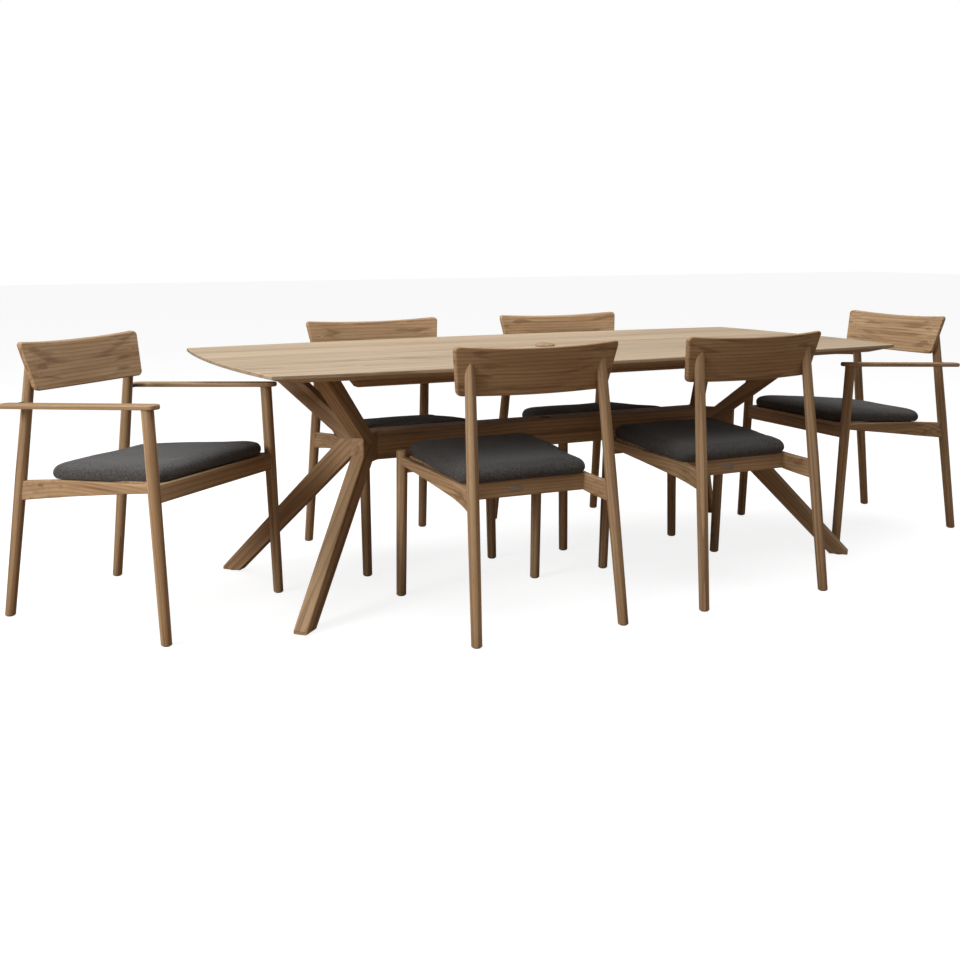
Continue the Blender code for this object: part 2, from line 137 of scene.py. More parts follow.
lens = bpy.data.cameras.new("camera")
lens.sensor_width = 36.0
lens.lens = 45.4
camera = bpy.data.objects.new("camera", lens)
show(camera)
ahead = np.array([math.sin(CAMERA_TURN) * math.cos(CAMERA_DIP),
                  math.cos(CAMERA_TURN) * math.cos(CAMERA_DIP), -math.sin(CAMERA_DIP)])
right = np.array([math.cos(CAMERA_TURN), -math.sin(CAMERA_TURN), 0.0])
over = np.cross(right, ahead)
roll_c, roll_s = math.cos(CAMERA_ROLL), math.sin(CAMERA_ROLL)
columns = Matrix((roll_c * right + roll_s * over, roll_c * over - roll_s * right, -ahead))
place = Matrix.Translation(MIDDLE + CAMERA_AT)
camera.matrix_world = place @ columns.transposed().to_4x4()
bpy.context.scene.camera = camera
print("camera at", [round(v, 3) for v in camera.location])

# %% [markdown]
# ## Shapes as arrays
# A piece is a grid of rings: its rows run along the piece and its columns run round it. The rings
# come from a few rules: a plate with rounded edges, a bar with a rounded section, a turned profile.
# One function turns any such grid into a closed shell.


# %% Rings into a closed shell
def shell(grid):
    """Points and faces of a closed skin over rings: a four-sided face between neighbouring points
    of neighbouring rings, and one flat face over the first ring and over the last."""
    rows, columns = grid.shape[:2]
    low = np.arange(rows - 1)[:, None] * columns
    here = np.arange(columns)[None, :]
    after = (here + 1) % columns
    sides = np.stack([low + here, low + after, low + columns + after, low + columns + here], -1)
    faces = sides.reshape(-1, 4).tolist()
    faces.append(list(range(columns))[::-1])
    faces.append(list(range((rows - 1) * columns, rows * columns)))
    return grid.reshape(-1, 3), faces


def to_world(points, place):
    """Points of a chair's or the table's own frame in the frame of the set."""
    origin, turn = place
    return points @ turn + origin


TABLE = (MIDDLE, np.eye(3))
CRISP = math.radians(38)


def make_mesh(name, shells, place):
    """One object from several closed shells, with doubles merged and normals outward."""
    points = []
    faces = []
    for shell_points, shell_faces in shells:
        start = sum(len(p) for p in points)
        points.append(np.asarray(shell_points, float))
        faces += [[i + start for i in face] for face in shell_faces]
    mesh = bpy.data.meshes.new(name)
    mesh.from_pydata(to_world(np.concatenate(points), place).tolist(), [], faces)
    build = bmesh.new()
    build.from_mesh(mesh)
    bmesh.ops.remove_doubles(build, verts=build.verts, dist=2e-6)
    bmesh.ops.recalc_face_normals(build, faces=build.faces)
    build.to_mesh(mesh)
    build.free()
    mesh.shade_smooth()
    mesh.set_sharp_from_angle(angle=CRISP)
    piece = bpy.data.objects.new(name, mesh)
    show(piece)
    return piece


# %% Outlines and plates
def unit(vectors):
    """Each vector divided by its length."""
    return vectors / np.linalg.norm(vectors, axis=-1, keepdims=True)


def round_corners(points, radii, steps=5):
    """Each corner becomes a short curve (1-t)^2 a + 2t(1-t) corner + t^2 b, whose ends a and b lie
    radius / tan(half the corner's angle) along its two edges."""
    points = np.asarray(points, float)
    radii = np.broadcast_to(np.asarray(radii, float), len(points))[:, None]
    back = unit(np.roll(points, 1, axis=0) - points)
    onward = unit(np.roll(points, -1, axis=0) - points)
    bend = np.arccos(np.clip((back * onward).sum(1, keepdims=True), -1, 1))
    reach = radii / np.tan(bend / 2)
    t = np.linspace(0, 1, steps + 1)[None, :, None]
    a = (points + back * reach)[:, None]
    b = (points + onward * reach)[:, None]
    curve = ((1 - t) ** 2 * a + 2 * t * (1 - t) * points[:, None] + t * t * b).reshape(-1, 2)
    apart = np.linalg.norm(curve - np.roll(curve, 1, axis=0), axis=1)
    return curve[apart > 1e-6]


def inset_outline(outline, depth):
    """The outline moved inward by depth, each point along the mitre of its edges' normals."""
    before = unit(outline - np.roll(outline, 1, axis=0))[:, ::-1] * (1, -1)
    after = unit(np.roll(outline, -1, axis=0) - outline)[:, ::-1] * (1, -1)
    mitre = (before + after) / (1 + (before * after).sum(1, keepdims=True))
    return outline - depth * mitre


def plate_rings(outline, thickness, radius, steps=4, draw_in=inset_outline):
    """Rings of a plate with rounded edges, as x, y and height. At angle a the ring is drawn in by
    r(1 - sin a) and stands r(1 - cos a) from the plate's face. The outline is made to run
    counter-clockwise first."""
    x, y = outline.T
    if (x * np.roll(y, -1) - y * np.roll(x, -1)).sum() < 0:
        outline = outline[::-1]
    a = np.linspace(0, math.pi / 2, steps + 1)
    inset = radius * (1 - np.sin(a))
    rise = radius * (1 - np.cos(a))
    insets = np.concatenate([inset, inset[::-1]])
    heights = np.concatenate([rise, thickness - rise[::-1]])
    return np.array([np.column_stack([draw_in(outline, i), np.full(len(outline), h)])
                     for i, h in zip(insets, heights)])


# %% Bars, turnings and small heads
def rounded_section(width, height, radius, steps=4):
    """Rounded rectangles, one for each width and height: quarter circles of the radius set in the
    four corners, at (w/2 - r + r cos a, h/2 - r + r sin a) and its mirror images."""
    width = np.atleast_1d(np.asarray(width, float))[:, None]
    height = np.atleast_1d(np.asarray(height, float))[:, None]
    quarter = np.linspace(0, math.pi / 2, steps + 1)
    angle = np.concatenate([quarter + k * math.pi / 2 for k in range(4)])
    side = np.repeat([1, -1, -1, 1], steps + 1)
    top = np.repeat([1, 1, -1, -1], steps + 1)
    across = side * (width / 2 - radius) + radius * np.cos(angle)
    up = top * (height / 2 - radius) + radius * np.sin(angle)
    return across, up


def turned_rings(foot, lean, z, radius, count=48):
    """Level rings of radius r(z) round a straight axis that leans by lean per metre of height."""
    t = 2 * math.pi * np.arange(count) / count
    z = np.asarray(z, float)[:, None]
    radius = np.asarray(radius, float)[:, None]
    return np.stack([foot[0] + lean[0] * z + radius * np.cos(t),
                     foot[1] + lean[1] * z + radius * np.sin(t), z + 0 * t], -1)


def spun(centre, axis, heights, radii, count=28):
    """Rings round an axis in any direction, at these heights along it and of these radii."""
    axis = unit(np.asarray(axis, float))
    helper = np.array([0.0, 0.0, 1.0]) if abs(axis[2]) < 0.9 else np.array([1.0, 0.0, 0.0])
    side = unit(np.cross(axis, helper))
    other = np.cross(axis, side)
    t = 2 * math.pi * np.arange(count)[None, :, None] / count
    h = np.asarray(heights, float)[:, None, None]
    r = np.asarray(radii, float)[:, None, None]
    return np.asarray(centre, float) + h * axis + r * (np.cos(t) * side + np.sin(t) * other)


def button(centre, axis, radius, height, ease):
    """A low round head: a short side, then a quarter circle of radius ease onto its flat top."""
    a = np.linspace(0, math.pi / 2, 5)
    heights = np.concatenate([[-height], height - ease + ease * np.sin(a)])
    radii = np.concatenate([[radius], radius - ease + ease * np.cos(a)])
    return spun(centre, axis, heights, radii)


print("shape rules ready")

# %% [markdown]
# ## Teak
# Teak is a solid, so its figure should run through a piece and come out on its end grain. Each
# vertex carries its own coordinates in the timber: how far along the grain it lies, and how far
# across. The finish reads those, so grain follows every leg and rail however it leans. A second
# value gives each stick of timber its own tone, and a third marks eased edges for a painted
# highlight.


# %% Grain, tone and edge values on each vertex
def mark_wood(piece, origin, along, tone=None, edge_highlight=1.0):
    """grain = position along and across the timber, with a random shift for each piece.
    edge = how far a vertex's normal turns from that of its largest face, near 1 on a rounding, scaled
    by the last argument; the finish paints these roundings paler, a painted highlight."""
    mesh = piece.data
    along = unit(np.asarray(along, float))
    helper = np.array([0.0, 0.0, 1.0]) if abs(along[2]) < 0.9 else np.array([1.0, 0.0, 0.0])
    across = unit(np.cross(helper, along))
    through = np.cross(along, across)
    points = read(mesh.vertices, "co", 3).astype(float)
    pith = np.array([draw.uniform(0, 9), draw.uniform(0.03, 0.12), draw.uniform(-0.05, 0.05)])
    grain = (points - origin) @ np.array([along, across, through]).T + pith
    tones = np.full(len(points), draw.uniform(-1, 1) if tone is None else tone)

    areas = read(mesh.polygons, "area")
    normals = read(mesh.polygons, "normal", 3)
    corners = read(mesh.loops, "vertex_index", 1, np.int32)
    owner = np.repeat(np.arange(len(areas)), read(mesh.polygons, "loop_total", 1, np.int32))
    summed = np.zeros((len(points), 3))
    np.add.at(summed, corners, normals[owner] * areas[owner][:, None])
    order = np.argsort(areas[owner])
    largest = np.zeros(len(points), int)
    largest[corners[order]] = owner[order]
    turn = 1 - (unit(summed + 1e-12) * normals[largest]).sum(1)
    # This edge value drives a painted highlight: the finish paints roundings paler.
    edges = np.clip(turn * 110, 0, 1) * edge_highlight
    for name, kind, key, values in (("grain", "FLOAT_VECTOR", "vector", grain),
                                    ("tone", "FLOAT", "value", tones),
                                    ("edge", "FLOAT", "value", edges)):
        layer = mesh.attributes.new(name, kind, "POINT")
        layer.data.foreach_set(key, values.astype(np.float32).ravel())


# %% Helpers for finishes
def new_finish(name):
    made = bpy.data.materials.new(name)
    made.use_nodes = True
    return made, made.node_tree, made.node_tree.nodes["Principled BSDF"]


def add(tree, kind, values=None, **settings):
    """A new node with its settings, and its sockets set to a number or linked to another node."""
    made = tree.nodes.new(kind)
    for key, value in settings.items():
        setattr(made, key, value)
    for key, value in (values or {}).items():
        if isinstance(value, bpy.types.NodeSocket):
            tree.links.new(value, made.inputs[key])
        else:
            made.inputs[key].default_value = value
    return made


def blend(tree, factor, first, second, kind="MIX"):
    """A colour mix. Its sockets share names, so they are reached by number."""
    mixed = add(tree, "ShaderNodeMix", {0: factor, 6: first, 7: second}, data_type="RGBA",
                blend_type=kind)
    return mixed.outputs[2]


def work(tree, operation, first, second=0.0):
    return add(tree, "ShaderNodeMath", {0: first, 1: second}, operation=operation).outputs[0]


def scaled(tree, value, by, plus):
    """value times by, plus a constant."""
    made = add(tree, "ShaderNodeMath", {0: value, 1: by, 2: plus}, operation="MULTIPLY_ADD")
    return made.outputs[0]


def stretched(tree, vector, scale):
    return add(tree, "ShaderNodeMapping", {"Vector": vector, "Scale": scale}).outputs[0]


def noise(tree, vector, detail=3.0, roughness=0.55):
    values = {"Vector": vector, "Scale": 1.0, "Detail": detail, "Roughness": roughness}
    return add(tree, "ShaderNodeTexNoise", values).outputs["Fac"]


def between(tree, value, low, high):
    """0 below low, 1 above high, and a straight line from one to the other."""
    values = {"Value": value, "From Min": low, "From Max": high}
    return add(tree, "ShaderNodeMapRange", values).outputs[0]


# %% [markdown]
# ## The timber's finish
# Four layers make the figure. Broad soft streaks vary the colour along a board. Growth rings are
# circles round the tree's pith, which a saw cut turns into the long arches of a sawn face. Thin
# dark mineral lines run with the grain, and fine open pores catch the light. The table's top is
# glued from many narrow boards, so there a board number shifts the timber and its tone.


# %% Teak
def teak_finish(name, pale, warm, dark, board_width=None):
    """A teak with these three colours. With a board width it is glued up of boards that wide."""
    made, tree, shader = new_finish(name)
    grain = add(tree, "ShaderNodeAttribute", attribute_name="grain").outputs["Vector"]
    tone = add(tree, "ShaderNodeAttribute", attribute_name="tone").outputs["Fac"]
    edge = add(tree, "ShaderNodeAttribute", attribute_name="edge").outputs["Fac"]
    if board_width:
        parts = add(tree, "ShaderNodeSeparateXYZ", {"Vector": grain})
        number = work(tree, "FLOOR", work(tree, "DIVIDE", parts.outputs["Y"], board_width))
        chance = add(tree, "ShaderNodeTexWhiteNoise", {"W": number}, noise_dimensions="1D")
        shift = add(tree, "ShaderNodeVectorMath", {0: chance.outputs["Color"],
                    1: (9.0, 0.35, 0.25)}, operation="MULTIPLY").outputs[0]
        grain = add(tree, "ShaderNodeVectorMath", {0: grain, 1: shift}).outputs[0]
        tone = scaled(tree, chance.outputs["Value"], 2.0, -1.0)
    streaks = noise(tree, stretched(tree, grain, (1.4, 34.0, 34.0)), 4.0, 0.6)
    wander = noise(tree, stretched(tree, grain, (1.1, 7.0, 7.0)), 2.0, 0.5)
    pulled = add(tree, "ShaderNodeVectorMath", {0: wander, 1: (0.0, 0.035, 0.035)},
                 operation="MULTIPLY").outputs[0]
    ring_space = add(tree, "ShaderNodeVectorMath", {0: grain, 1: pulled}).outputs[0]
    rings = add(tree, "ShaderNodeTexWave", {"Vector": stretched(tree, ring_space,
                (0.09, 1.0, 1.0)), "Scale": 27.0, "Distortion": 2.2, "Detail": 2.0,
                "Detail Scale": 0.4}, wave_type="RINGS", rings_direction="X",
                wave_profile="SAW").outputs["Fac"]
    lines = between(tree, noise(tree, stretched(tree, grain, (1.3, 80.0, 55.0)), 2.0, 0.5),
                    0.55, 0.66)
    pores = between(tree, noise(tree, stretched(tree, grain, (26.0, 1250.0, 1250.0)), 2.0, 0.6),
                    0.55, 0.72)
    colour = blend(tree, between(tree, streaks, 0.34, 0.68), (*pale, 1), (*warm, 1))
    colour = blend(tree, work(tree, "MULTIPLY", work(tree, "POWER", rings, 3.5), 0.62), colour,
                   (*dark, 1))
    colour = blend(tree, work(tree, "MULTIPLY", lines, 0.62), colour, (*dark, 1))
    colour = blend(tree, work(tree, "MULTIPLY", pores, 0.42), colour, (*dark, 1))
    value = scaled(tree, tone, 0.10, 1.0)
    colour = add(tree, "ShaderNodeHueSaturation", {"Color": colour, "Value": value}).outputs[0]
    # Painted highlight: eased edges are blended toward the pale colour, as if light caught them.
    colour = blend(tree, work(tree, "MULTIPLY", edge, 0.30), colour, (*pale, 1))
    tree.links.new(colour, shader.inputs["Base Color"])
    tree.links.new(scaled(tree, pores, 0.18, 0.50), shader.inputs["Roughness"])
    height = work(tree, "SUBTRACT", work(tree, "MULTIPLY", streaks, 0.5), pores)
    bump = add(tree, "ShaderNodeBump", {"Height": height, "Strength": 0.35, "Distance": 0.0004})
    tree.links.new(bump.outputs[0], shader.inputs["Normal"])
    shader.inputs["Specular IOR Level"].default_value = 0.32
    return made


BOARD_WIDTH = 0.082
teak_top = teak_finish("teak_top", (0.53, 0.42, 0.295), (0.44, 0.33, 0.215), (0.24, 0.155, 0.09),
                       BOARD_WIDTH)
teak_frame = teak_finish("teak_frame", (0.50, 0.335, 0.19), (0.37, 0.225, 0.115),
                         (0.17, 0.092, 0.045))
print("teak for the top and for the frames")

# %% [markdown]
# ## Cloth and small metals
# The pads wear a flat outdoor weave of several greys, which from afar reads as warm charcoal. Two
# crossed sets of stretched noise stand for the mixed yarns, and two waves make the threads' relief.


# %% Charcoal weave, badge metal, screws and glides
def charcoal_weave():
    """Mixed yarns as colour, and threads about a millimetre apart as relief."""
    made, tree, shader = new_finish("charcoal_weave")
    place = add(tree, "ShaderNodeAttribute", attribute_name="weave").outputs["Vector"]
    warp = noise(tree, stretched(tree, place, (1500.0, 260.0, 900.0)), 2.0, 0.6)
    weft = noise(tree, stretched(tree, place, (260.0, 1500.0, 900.0)), 2.0, 0.6)
    mottle = noise(tree, stretched(tree, place, (420.0, 420.0, 300.0)), 2.0, 0.7)
    yarn = between(tree, work(tree, "ADD", warp, weft), 0.80, 1.22)
    colour = blend(tree, yarn, (0.016, 0.0155, 0.016, 1), (0.066, 0.063, 0.061, 1))
    colour = blend(tree, between(tree, mottle, 0.44, 0.62), colour, (0.120, 0.116, 0.112, 1))
    tree.links.new(colour, shader.inputs["Base Color"])
    threads = [add(tree, "ShaderNodeTexWave", {"Vector": place, "Scale": 230.0,
               "Distortion": 0.6}, bands_direction=axis).outputs["Fac"] for axis in "XY"]
    relief = work(tree, "ADD", work(tree, "MULTIPLY", *threads), work(tree, "MULTIPLY", yarn, 0.5))
    bump = add(tree, "ShaderNodeBump", {"Height": relief, "Strength": 0.45, "Distance": 0.0006})
    tree.links.new(bump.outputs[0], shader.inputs["Normal"])
    shader.inputs["Roughness"].default_value = 0.92
    shader.inputs["Specular IOR Level"].default_value = 0.2
    shader.inputs["Sheen Weight"].default_value = 0.12
    shader.inputs["Sheen Roughness"].default_value = 0.5
    return made


def brushed(name, colour, metallic, roughness):
    """A metal or nylon with fine scratches in its roughness."""
    made, tree, shader = new_finish(name)
    place = add(tree, "ShaderNodeTexCoord").outputs["Object"]
    fine = noise(tree, stretched(tree, place, (300.0, 2600.0, 300.0)), 2.0)
    tint = blend(tree, fine, (*(0.8 * c for c in colour), 1), (*colour, 1))
    tree.links.new(tint, shader.inputs["Base Color"])
    tree.links.new(scaled(tree, fine, 0.25, roughness), shader.inputs["Roughness"])
    shader.inputs["Metallic"].default_value = metallic
    return made


charcoal = charcoal_weave()
pewter = brushed("pewter", (0.42, 0.41, 0.40), 1.0, 0.30)
steel = brushed("stainless_steel", (0.60, 0.60, 0.61), 1.0, 0.22)
nylon = brushed("black_nylon", (0.03, 0.03, 0.03), 0.0, 0.45)
print("weave, metals and nylon")


# %% Putting a piece on its body
def settle(piece, body, finish, replaces=()):
    """Finish a piece: its material, the body it rides on, and the CAD nodes it stands for."""
    piece.data.materials.append(finish)
    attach(piece, body)
    if replaces:
        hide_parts(*replaces)
    return piece


def keep_flat(piece):
    """Weighted normals: a broad face keeps its own direction, and the rounding beside it turns."""
    keep = piece.modifiers.new("flat_faces", "WEIGHTED_NORMAL")
    keep.keep_sharp = True


def wooden(name, shells, place, along, body, replaces=(), tone=None, flat=True):
    """A piece of frame teak. Turned pieces are not flat, and so get no painted highlight on their
    edges.
    """
    piece = make_mesh(name, shells, place)
    origin, turn = place
    mark_wood(piece, origin, np.asarray(along, float) @ turn, tone, edge_highlight=float(flat))
    if flat:
        keep_flat(piece)
    return settle(piece, body, teak_frame, replaces)


def small(name, shells, place, body, finish):
    return settle(make_mesh(name, shells, place), body, finish)


# %% [markdown]
# ## The table top
# The top is one plate glued from boards, bowed on all four sides by a parabola, so that the sides
# swell toward the middle. Its edge is thin to the eye because the underside is cut back on a long
# slant. Rings at a few heights, each the same outline drawn in a little, give that section.

# %% Table top and round cover
END_BOW = 0.033
SIDE_BOW = 0.051
POLE_R = 0.022
top_low, top_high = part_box("table_top")
FULL_LONG = (top_high.x - top_low.x) / 2
FULL_WIDE = (top_high.y - top_low.y) / 2


def bowed_outline(inset):
    """Four parabolas: a side at y = half width + bow (1 - t^2), an end at x = half length +
    bow (1 - s^2). The corners where they meet are rounded, and inset shrinks the whole."""
    t = np.linspace(-1, 1, 61)[:-1]
    s = np.linspace(-1, 1, 25)[:-1]
    side = np.column_stack([(FULL_LONG - END_BOW) * t, -FULL_WIDE + SIDE_BOW * t * t])
    end = np.column_stack([FULL_LONG - END_BOW * s * s, (FULL_WIDE - SIDE_BOW) * s])
    outline = np.concatenate([side, end, -side, -end])
    radii = np.zeros(len(outline))
    radii[[0, 60, 84, 144]] = 0.006
    shrink = 1 - inset / np.array([FULL_LONG, FULL_WIDE])
    return round_corners(outline, radii) * shrink


def apply_modifiers(piece):
    """Keep what the modifiers make of a piece as its mesh, and drop them."""
    graph = bpy.context.evaluated_depsgraph_get()
    piece.data = bpy.data.meshes.new_from_object(piece.evaluated_get(graph))
    piece.modifiers.clear()


def drill(piece, low, high):
    """Cut the pole's round hole through a piece, and keep the result as plain mesh."""
    tool = make_mesh("pole", [shell(spun((0, 0, low), (0, 0, 1), (0, high - low),
                                         (POLE_R, POLE_R), 64))], TABLE)
    cut = piece.modifiers.new("hole", "BOOLEAN")
    cut.operation = "DIFFERENCE"
    cut.solver = "EXACT"
    cut.object = tool
    bpy.context.view_layer.update()
    apply_modifiers(piece)
    piece.data.set_sharp_from_angle(angle=CRISP)
    bpy.data.objects.remove(tool)


def drilled(name, rings, hole, along, finish, node, tone=None):
    """A piece of the table with the pole's hole through it, between two heights."""
    piece = make_mesh(name, [shell(rings)], TABLE)
    drill(piece, *hole)
    mark_wood(piece, MIDDLE, along, tone)
    keep_flat(piece)
    settle(piece, "table", finish, [node])


# Each pair is how far the outline is drawn in and how far below the top face that ring lies.
TOP_LEVELS = [(0.0600, -0.0280), (0.0020, -0.0112), (0.0006, -0.0106), (0.0, -0.0098),
              (0.0, -0.0030), (0.0002, -0.0019), (0.0009, -0.0009), (0.0019, -0.0002),
              (0.0030, 0.0)]
rings = np.array([np.column_stack([bowed_outline(inset), np.full(len(bowed_outline(0)), TOP_Z + z)])
                  for inset, z in TOP_LEVELS])
drilled("top_boards", rings, (TOP_Z - 0.05, TOP_Z + 0.05), (1, 0, 0), teak_top,
        "table_top", 0.0)

cover_z = TOP_Z + np.array([-0.0140, -0.0130, 0.0003, 0.0003, 0.0012, 0.0035, 0.0062, 0.0083,
                            0.0098, 0.0106, 0.0110])
cover_r = np.array([0.0200, 0.0217, 0.0217, 0.0318, 0.0330, 0.0332, 0.0322, 0.0290, 0.0225, 0.0120,
                    0.0010])
wooden("pole_hole_cover", [shell(turned_rings((0, 0), (0, 0), cover_z, cover_r, 64))], TABLE,
       (1, 0, 0), "plug", ["parasol_plug"], flat=False)
print("top", [round(2 * v, 3) for v in (FULL_LONG, FULL_WIDE)])

# %% [markdown]
# ## Under the top
# Two long rails carry the top, a tie joins them round the pole's hole, and a square beam joins the
# two trestles lower down. They are straight sawn sticks, so each is a plate or a bar with eased
# edges. The beam is made a hair lower than the hubs that hold it, so no two faces coincide.

# %% Rails, tie and beam
rail_low, rail_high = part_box("under_rail_far")
RAIL_Y = (rail_low.y + rail_high.y) / 2 - MIDDLE[1]
RAIL_LONG = (rail_high.x - rail_low.x) / 2
UNDER_TOP = rail_high.z
beam_low, beam_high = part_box("stretcher")
BEAM_Z = (beam_low.z, beam_high.z)


def upright(rings):
    """Turn a plate's x, y and height into x, height and y, so that it stands on its edge."""
    return rings[..., [0, 2, 1]]


for side, label in ((-1, "near"), (1, "far")):
    profile = [(-RAIL_LONG + 0.034, rail_low.z), (RAIL_LONG - 0.034, rail_low.z),
               (RAIL_LONG, UNDER_TOP), (-RAIL_LONG, UNDER_TOP)]
    rings = upright(plate_rings(np.array(profile), 0.040, 0.0025))
    rings[..., 1] += side * RAIL_Y - 0.020
    wooden(f"top_rail_{label}", [shell(rings)], TABLE, (1, 0, 0), "table", [f"under_rail_{label}"])
    heads = [button((x, side * RAIL_Y, rail_low.z), (0, 0, -1), 0.0055, 0.0012, 0.001)
             for x in (-0.66, -0.22, 0.22, 0.66)]
    small(f"rail_screws_{label}", [shell(head) for head in heads], TABLE, "table", steel)

tie_low, tie_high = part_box("centre_tie")
half_x = (tie_high.x - tie_low.x) / 2
half_y = (tie_high.y - tie_low.y) / 2
rings = plate_rings(np.array([(-half_x, -half_y), (half_x, -half_y), (half_x, half_y),
                              (-half_x, half_y)]), tie_high.z - tie_low.z, 0.002)
rings[..., 2] += tie_low.z
drilled("cross_tie", rings, (0.6, 0.8), (0, 1, 0), teak_frame, "centre_tie")

BEAM_END = 0.640
across, up = rounded_section(0.0896, 0.0896, 0.004)
x = np.linspace(-BEAM_END, BEAM_END, 9)[:, None]
rings = np.stack([x + 0 * across, across + 0 * x, sum(BEAM_Z) / 2 + up + 0 * x], -1)
drilled("beam", rings, (0.3, 0.6), (1, 0, 0), teak_frame, "stretcher")
print("rails at y", round(RAIL_Y, 3), "beam at z", [round(v, 3) for v in BEAM_Z])

# %% [markdown]
# ## The trestles
# Each trestle is two bent halves that meet back to back on the table's centre line. A half is an
# upper arm and a lower leg, sawn from thick plank and glued at the hub. Seen from its side each is
# a polygon. Its free edges are rounded, and the glued edge is held sharp, so that the joint closes
# to a fine line. A plane then cuts the mitre where the two halves meet.

# %% Trestles
KNEE_X = 0.6467
PLAN_TURN = math.radians(45.3)
LEG_T = 0.044
GLUE = 0.00015
MEMBER_EASE = 0.0045
FOOT_MIDDLE = 0.5161
HUB_REACH = -0.060
JOINT_IN = np.array([HUB_REACH, 0.4685])
JOINT_OUT = np.array([0.096, 0.4775])
ARM_OUT = np.array([0.4035, UNDER_TOP])
FLAT_S = 0.127
GLIDE_H = 0.0025


def held_inset(outline, depths):
    """Each edge moves inward by its own depth. A corner moves to where its two moved edges
    cross: m = -(d0 n0 + d1 n1 - c (d0 n1 + d1 n0)) / (1 - c^2), with c the normals' product."""
    onward = unit(np.roll(outline, -1, axis=0) - outline)[:, ::-1] * (1, -1)
    before = np.roll(onward, 1, axis=0)
    d1 = depths[:, None]
    d0 = np.roll(d1, 1, axis=0)
    c = (before * onward).sum(1, keepdims=True)
    crossing = (d0 * before + d1 * onward - c * (d0 * onward + d1 * before)) / (1 - c * c + 1e-9)
    even = (d0 + d1) / 2 * (before + onward) / (1 + c)
    return outline - np.where(c > 0.995, even, crossing)


def mitre(piece, side):
    """Cut a half along the table's centre plane and close the cut."""
    build = bmesh.new()
    build.from_mesh(piece.data)
    everything = build.verts[:] + build.edges[:] + build.faces[:]
    bmesh.ops.bisect_plane(build, geom=everything, plane_co=MIDDLE + (0, side * GLUE, 0),
                           plane_no=(0, -side, 0), clear_outer=True, dist=1e-7)
    bmesh.ops.holes_fill(build, edges=[e for e in build.edges if e.is_boundary])
    bmesh.ops.recalc_face_normals(build, faces=build.faces)
    build.to_mesh(piece.data)
    build.free()
    piece.data.set_sharp_from_angle(angle=CRISP)


for end, end_name in ((-1, "left"), (1, "right")):
    for side, side_name in ((-1, "near"), (1, "far")):
        label = f"{end_name}_{side_name}"
        along = np.array([end * math.cos(PLAN_TURN), side * math.sin(PLAN_TURN), 0])
        aside = np.array([-end * math.sin(PLAN_TURN), side * math.cos(PLAN_TURN), 0])
        axes = np.array([along, [0, 0, 1], aside])
        knee = np.array([end * KNEE_X, 0, 0])
        lift = np.array([0, GLUE])
        climb = (ARM_OUT[1] - JOINT_OUT[1]) / (ARM_OUT[0] - JOINT_OUT[0])
        arm = [JOINT_IN + lift, JOINT_OUT + lift, ARM_OUT, (0.3047, UNDER_TOP),
               (0.055, BEAM_Z[1]), (HUB_REACH, BEAM_Z[1])]
        leg = [JOINT_IN - lift, (HUB_REACH, BEAM_Z[0]), (0.060, BEAM_Z[0]), (0.4848, GLIDE_H),
               (0.5474, GLIDE_H), (0.5474, 0.013)]
        arm_held = [0]
        leg_held = [6]
        if side < 0:
            flat_z = JOINT_OUT[1] + (FLAT_S - JOINT_OUT[0]) * climb
            arm[2:2] = [(FLAT_S + 0.0004, flat_z + 0.0004)]
            leg += [(FLAT_S, 0.445), (FLAT_S, flat_z - GLUE), JOINT_OUT - lift + (2 * GLUE, 0)]
            arm_held = [0, 1]
            leg_held = [7, 8]
        else:
            leg.append(JOINT_OUT - lift)
        for kind, profile, held, grain in (("upper_arm", arm, arm_held, (0.60, 0.42)),
                                           ("lower_leg", leg, leg_held, (0.72, -0.69))):
            free = np.ones(len(profile))
            free[held] = 0.0
            rings = plate_rings(np.array(profile), LEG_T, MEMBER_EASE,
                                draw_in=lambda line, depth: held_inset(line, depth * free))
            piece = make_mesh(f"{kind}_{label}_plank", [shell(rings @ axes + knee)], TABLE)
            mitre(piece, side)
            mark_wood(piece, MIDDLE, along * grain[0] + np.array([0, 0, grain[1]]))
            keep_flat(piece)
            settle(piece, "table", teak_frame, [f"{kind}_{label}"])
        foot = knee + along * FOOT_MIDDLE + aside * LEG_T / 2
        small(f"foot_glide_{label}", [shell(spun(foot, (0, 0, 1), (0.0, 0.0005, GLIDE_H + 0.002),
              (0.0145, 0.0150, 0.0150)))], TABLE, "table", nylon)
    bolt = np.array([end * (KNEE_X - 0.062 / 2), 0, BEAM_Z[0]])
    small(f"hub_bolt_{end_name}", [shell(button(bolt, (0, 0, -1), 0.0085, 0.002, 0.0015))], TABLE,
          "table", steel)
print("four bent halves in eight planks")

# %% [markdown]
# ## The chairs: legs and rails
# All legs are turned. They swell slightly to the seat and thin again above it. The rear legs lean
# forward and end in a long slanting cut against the back of the board. That cut is made here by
# holding each point behind the board's rear face, so that the rings flatten as they rise past it.

# %% Chair rules
SEAT_Z = 0.4313
SEAT_SLOPE = 0.0692
RAIL_T = 0.022
RAIL_H = 0.052
REAR_RAIL_V = -0.097
BACK_LOW = 0.681
BACK_HIGH = 0.821
BACK_T = 0.018
BACK_LEAN = math.radians(14.5)
HEAD_Z = {("rear", False): 0.780, ("rear", True): 0.800, ("front", False): 0.469,
          ("front", True): 0.6588}
HEAD_R = {"rear": 0.0150, "front": 0.0172}


def seat_plane(v):
    return SEAT_Z + SEAT_SLOPE * v


def axis_at(chair, which, side, z):
    """Where a leg's axis stands at height z."""
    foot, lean = chair["legs"][which, side]
    return foot + lean * z


def leg_radius(which, armed, z):
    """Straight from 15.5 mm at the foot to 17.5 mm at the seat, then straight to the head."""
    head = HEAD_Z[which, armed]
    return np.interp(z, [0.0, SEAT_Z, head], [0.0155, 0.0175, HEAD_R[which]])


